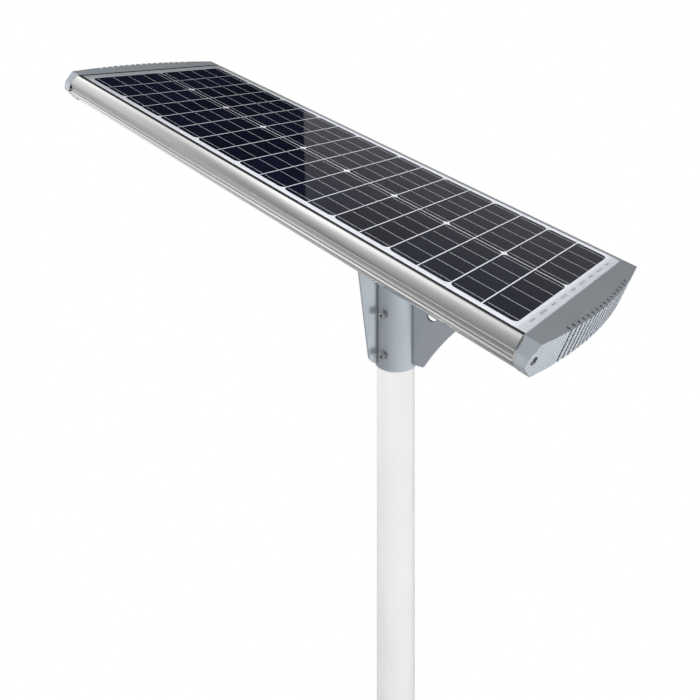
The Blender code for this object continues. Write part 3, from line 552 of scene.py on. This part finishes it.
def add_prism(bm, outline, top, thickness):
    """A flat prism from a closed outline of (x, y) points, from top downward."""
    upper = [bm.verts.new((x, y, top)) for x, y in outline]
    lower = [bm.verts.new((x, y, top - thickness)) for x, y in outline]
    bm.faces.new(upper)
    bm.faces.new(list(reversed(lower)))
    for i in range(len(outline)):
        j = (i + 1) % len(outline)
        bm.faces.new((upper[i], lower[i], lower[j], upper[j]))


def add_bar(bm, low, high, top, thickness):
    """A prism over the rectangle between two (x, y) corners."""
    (x0, y0), (x1, y1) = low, high
    add_prism(bm, [(x0, y0), (x1, y0), (x1, y1), (x0, y1)], top, thickness)


def corner_arc(x, y, start, radius=CELL_CORNER, steps=4):
    """A quarter turn about (x, y), for a rounded outside corner."""
    turns = [start + (pi / 2) * i / steps for i in range(steps + 1)]
    return [(x + radius * cos(a), y + radius * sin(a)) for a in turns]


def strip_outline(x0, x1, y0, y1, round_end):
    """Half of a cut wafer, which keeps its rounded corners at one end only."""
    r = CELL_CORNER
    if round_end < 0:
        return [(x1, y0), (x1, y1)] + corner_arc(x0 + r, y1 - r, pi / 2) + corner_arc(x0 + r, y0 + r, pi)
    return [(x0, y1), (x0, y0)] + corner_arc(x1 - r, y0 + r, -pi / 2) + corner_arc(x1 - r, y1 - r, 0.0)


def row_middle(row):
    """Where the middle of a row of cells lies across the head."""
    return (row - (CELL_ROWS - 1) / 2) * ROW_PITCH


def strip_span(column):
    """Where a column of strips starts and ends along the head."""
    start = (column - STRIP_COLUMNS / 2) * STRIP_PITCH + CELL_GAP / 2
    return start, start + STRIP_PITCH - CELL_GAP


def build_cells():
    """The cut cells, two rows of strips, in place of the CAD's plain slab.

    The glass here bends no light. At the camera's low angle the cells under 3.2 mm of real glass
    would look about 1 mm deep, so they are drawn there, inside the CAD's glass, and not below it."""
    bm = bmesh.new()
    half_row = (ROW_PITCH - CELL_GAP) / 2
    for column in range(STRIP_COLUMNS):
        x0, x1 = strip_span(column)
        round_end = -1 if column % 2 == 0 else 1
        for row in range(CELL_ROWS):
            y = row_middle(row)
            outline = strip_outline(x0, x1, y - half_row, y + half_row, round_end)
            add_prism(bm, outline, -CELL_DEPTH, CELL_THICKNESS)
    cells = add_piece("cell_strips", bm, FINISHES["cells"])
    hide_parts("solar_cells")


def build_film():
    """The white sheet behind the cells, out to the panel's edge."""
    low, high = lamp_box("panel_glass")
    near = (low.x + FILM_MARGIN, low.y + FILM_MARGIN)
    far = (high.x - FILM_MARGIN, high.y - FILM_MARGIN)
    bm = bmesh.new()
    add_bar(bm, near, far, -CELL_DEPTH - CELL_THICKNESS, FILM_THICKNESS)
    add_piece("white_film", bm, FINISHES["backsheet"])


def build_busbars():
    """The ribbons on each strip, which run from near one edge into the gap at the other."""
    bm = bmesh.new()
    top = -CELL_DEPTH + BUSBAR_PROUD
    for column in range(STRIP_COLUMNS):
        x0, x1 = strip_span(column)
        for row in range(CELL_ROWS):
            for bar in range(BUSBARS_PER_ROW):
                y = row_middle(row) + (bar - (BUSBARS_PER_ROW - 1) / 2) * BUSBAR_PITCH
                low = (x0 + BUSBAR_INSET, y - BUSBAR_WIDTH / 2)
                high = (x1 + CELL_GAP / 2, y + BUSBAR_WIDTH / 2)
                add_bar(bm, low, high, top, RIBBON_THICKNESS)
    add_piece("busbars", bm, RIBBON)


def build_end_ribbons():
    """Short lengths of collecting ribbon on the white border at the low end."""
    bm = bmesh.new()
    x = STRIP_COLUMNS * STRIP_PITCH / 2 + END_RIBBON_GAP
    for i in range(END_RIBBONS):
        y = (i - (END_RIBBONS - 1) / 2) * END_RIBBON_PITCH
        half = END_RIBBON_HALF_LENGTHS[i % 2]
        low = (x - END_RIBBON_WIDTH / 2, y - half)
        high = (x + END_RIBBON_WIDTH / 2, y + half)
        add_bar(bm, low, high, -CELL_DEPTH, RIBBON_THICKNESS)
    add_piece("end_ribbons", bm, RIBBON)


def led_places(node):
    """A grid of light positions inside a module, in the head's frame."""
    low, high = lamp_box(node)
    middle = (low + high) / 2
    step_x = (high.x - low.x) / (LED_COLUMNS + LED_MARGIN)
    step_y = (high.y - low.y) / (LED_ROWS + LED_MARGIN)
    for column in range(LED_COLUMNS):
        for row in range(LED_ROWS):
            x = middle.x + (column - (LED_COLUMNS - 1) / 2) * step_x
            y = middle.y + (row - (LED_ROWS - 1) / 2) * step_y
            yield x, y


def build_leds(letter):
    """LED chips on the board, and a low optic over each on the outside of the cover."""
    board_face = lamp_box(f"led_board_{letter}")[0].z
    cover_face = lamp_box(f"lens_cover_{letter}")[0].z
    chips, optics = bmesh.new(), bmesh.new()
    half = LED_SIZE / 2
    for x, y in led_places(f"led_board_{letter}"):
        add_bar(chips, (x - half, y - half), (x + half, y + half), board_face - LED_SINK, LED_THICKNESS)
        add_optic(optics, x, y, cover_face)
    add_piece(f"led_chips_{letter}", chips, PHOSPHOR)
    dome = add_piece(f"lens_optics_{letter}", optics, FINISHES["lens"])
    dome.data.shade_smooth()


def add_optic(bm, x, y, base, rings=5, segments=20):
    """A low dome that hangs from the cover's face."""
    loops = []
    for ring in range(rings):
        angle = (pi / 2) * ring / rings
        radius, drop = OPTIC_RADIUS * cos(angle), OPTIC_HEIGHT * sin(angle)
        turns = [2 * pi * i / segments for i in range(segments)]
        loops.append([bm.verts.new((x + radius * cos(a), y + radius * sin(a), base - drop)) for a in turns])
    tip = bm.verts.new((x, y, base - OPTIC_HEIGHT))
    for upper, lower in zip(loops, loops[1:]):
        for i in range(segments):
            j = (i + 1) % segments
            bm.faces.new((upper[j], upper[i], lower[i], lower[j]))
    for i in range(segments):
        bm.faces.new((loops[-1][(i + 1) % segments], loops[-1][i], tip))


# ---------------------------------------------------------------- studio
def mirrored_wall_edge():
    """Normal of the plane of directions, as the glass mirrors them, where the bright wall ends."""
    rear = LAMP @ Vector((REFLECTION_AT_REAR_EDGE, REFLECTION_EDGE_SPREAD, 0.0)) - CAMERA_PLACE
    front = LAMP @ Vector((REFLECTION_AT_FRONT_EDGE, -REFLECTION_EDGE_SPREAD, 0.0)) - CAMERA_PLACE
    normal = rear.cross(front).normalized()
    return (normal - 2 * normal.dot(PANEL_NORMAL) * PANEL_NORMAL).normalized()


class Studio(Graph):
    """The world's shader."""

    def __init__(self):
        world = bpy.data.worlds.new("studio")
        bpy.context.scene.world = world
        world.use_nodes = True
        super().__init__(world.node_tree)
        self.tree.nodes.clear()

    def background(self, brightness, strength=1.0):
        node = self.node("ShaderNodeBackground")
        self.feed(brightness, node.inputs["Color"])
        self.feed(strength, node.inputs["Strength"])
        return node.outputs["Background"]

    def towards(self, direction, vector):
        """How far a direction points along a vector."""
        node = self.node("ShaderNodeVectorMath")
        node.operation = "DOT_PRODUCT"
        node.inputs[1].default_value = vector
        self.link(direction, node.inputs[0])
        return node.outputs["Value"]

    def switch(self, condition, off, on):
        node = self.node("ShaderNodeMixShader")
        self.link(condition, node.inputs[0])
        self.link(off, node.inputs[1])
        self.link(on, node.inputs[2])
        return node.outputs["Shader"]


def mirrored_room(studio, direction):
    """What the metal and the glass mirror.

    The front half is dim and lit from overhead, which shades the round shoulder from white down to
    grey. The back half is a bright wall with the sharp edge that shows in the glass."""
    split = studio.node("ShaderNodeSeparateXYZ")
    studio.link(direction, split.inputs["Vector"])
    sideways, depth, rise = (split.outputs[axis] for axis in "XYZ")

    overhead = studio.ramp(studio.towards(direction, SHOULDER_BANDS), *OVERHEAD)
    front = studio.background(overhead, studio.ramp(sideways, *OVERHEAD_SIDEWAYS))

    wall = studio.background(studio.ramp(rise, *WALL_BY_HEIGHT), studio.ramp(sideways, *WALL_SIDEWAYS))
    past = studio.towards(direction, mirrored_wall_edge())
    beyond = studio.ranged(past, 0.0, 1.0, -REFLECTION_BLUR, REFLECTION_BLUR)
    back = studio.switch(beyond, wall, studio.background(PAST_THE_WALL))

    behind = studio.ranged(depth, 0.0, 1.0, 0.0, 0.2)
    return studio.switch(behind, front, back)


def build_studio():
    """A white room for the camera, a soft one for the light and another one for the mirrors."""
    studio = Studio()
    direction = studio.node("ShaderNodeTexCoord").outputs["Generated"]
    rise = studio.towards(direction, (0.0, 0.0, 1.0))
    soft = studio.background(studio.ramp(rise, *SKY))
    rays = studio.node("ShaderNodeLightPath").outputs
    lit = studio.switch(rays["Is Glossy Ray"], soft, mirrored_room(studio, direction))
    seen = studio.switch(rays["Is Camera Ray"], lit, studio.background(WHITE))
    studio.link(seen, studio.node("ShaderNodeOutputWorld").inputs["Surface"])


def link_light(lamp, nodes, state):
    """Make a light reach only these CAD nodes (INCLUDE), or all but these (EXCLUDE)."""
    group = bpy.data.collections.new(f"linked_to_{lamp.name}")
    for node in nodes:
        group.objects.link(frame["nodes"][node])
    for member in group.collection_objects:
        member.light_linking.link_state = state
    lamp.light_linking.receiver_collection = group


def add_softbox(name, place, target, size, power, lit):
    """A square area light, place and target measured from the foot of the pole's axis.

    It lights either the bracket alone, which hangs in the head's shade, or the rest. The extrusion
    is left out of both: it only mirrors the studio."""
    place, target = (Vector(point) + Vector((POLE_X, 0.0, 0.0)) for point in (place, target))
    light = bpy.data.lights.new(name, "AREA")
    light.shape = "SQUARE"
    light.size = size
    light.energy = power
    lamp = bpy.data.objects.new(name, light)
    bpy.context.scene.collection.objects.link(lamp)
    lamp.location = place
    lamp.rotation_euler = (target - place).to_track_quat("-Z", "Y").to_euler()
    lamp.visible_glossy = False
    if lit == "bracket":
        link_light(lamp, ["mounting_bracket"], "INCLUDE")
    else:
        link_light(lamp, ["mounting_bracket", "housing_extrusion"], "EXCLUDE")


def studio_paper():
    """White to the camera, and in mirrors grading from dark to light with distance: a painted shadow of the lamp.
    """
    paper = Surface("studio_paper", (0.86, 0.86, 0.86), 0.9)
    paper.tint((0.84, 0.84, 0.84), 1.0)
    distance = paper.node("ShaderNodeVectorMath")
    distance.operation = "LENGTH"
    paper.link(paper.coordinates.outputs["Object"], distance.inputs[0])
    # painted shadow of the lamp, as the floor shows in mirrors
    mirrored = paper.ramp(distance.outputs["Value"], *FLOOR_SHADE_IN_MIRRORS, low=0.0, high=4.0)
    rays = paper.node("ShaderNodeLightPath").outputs
    look = paper.shader.outputs[0]
    for ray, brightness in (("Is Glossy Ray", mirrored), ("Is Camera Ray", WHITE)):
        glow = paper.node("ShaderNodeEmission")
        paper.feed(brightness, glow.inputs["Color"])
        seen = paper.node("ShaderNodeMixShader")
        paper.link(rays[ray], seen.inputs[0])
        paper.link(look, seen.inputs[1])
        paper.link(glow.outputs[0], seen.inputs[2])
        look = seen.outputs[0]
    paper.link(look, paper.tree.nodes["Material Output"].inputs["Surface"])
    return paper.material


def build_floor():
    """A plain pale floor, which the camera sees as bright as the white room behind it."""
    bm = bmesh.new()
    bmesh.ops.create_grid(bm, x_segments=1, y_segments=1, size=FLOOR_SIZE)
    mesh = bpy.data.meshes.new("floor")
    bm.to_mesh(mesh)
    bm.free()
    floor = bpy.data.objects.new("floor", mesh)
    floor.location.z = -FLOOR_DROP
    bpy.context.scene.collection.objects.link(floor)
    mesh.materials.append(studio_paper())


def shift_at_viewpoint(camera, place):
    """Shift the lens while the camera stands at this place, and fade the shift out when it is moved."""
    viewpoint = bpy.data.objects.new("viewpoint", None)
    bpy.context.scene.collection.objects.link(viewpoint)
    viewpoint.location = place
    curve = camera.data.driver_add("shift_y")
    curve.driver.type = "AVERAGE"
    distance = curve.driver.variables.new()
    distance.type = "LOC_DIFF"
    distance.targets[0].id = camera
    distance.targets[1].id = viewpoint
    for modifier in list(curve.modifiers):
        curve.modifiers.remove(modifier)
    curve.keyframe_points.add(2)
    for point, (moved, shift) in zip(curve.keyframe_points, ((0.0, CAMERA_SHIFT), (0.001, 0.0))):
        point.co = (moved, shift)
        point.interpolation = "LINEAR"


def build_camera():
    """A level camera whose lens is shifted down, as in architectural pictures."""
    data = bpy.data.cameras.new("camera")
    data.lens = CAMERA_LENS
    data.clip_end = 200.0
    camera = bpy.data.objects.new("camera", data)
    bpy.context.scene.collection.objects.link(camera)
    camera.location = CAMERA_PLACE
    camera.rotation_euler = (pi / 2, 0.0, CAMERA_TURN)
    bpy.context.scene.camera = camera
    shift_at_viewpoint(camera, CAMERA_PLACE)


# ---------------------------------------------------------------- build
dress_nodes()
build_cells()
build_film()
build_busbars()
build_end_ribbons()
for module in "ab":
    build_leds(module)
build_studio()
build_floor()
for softbox in SOFTBOXES:
    add_softbox(*softbox)
build_camera()
bpy.context.scene.view_settings.view_transform = "Standard"
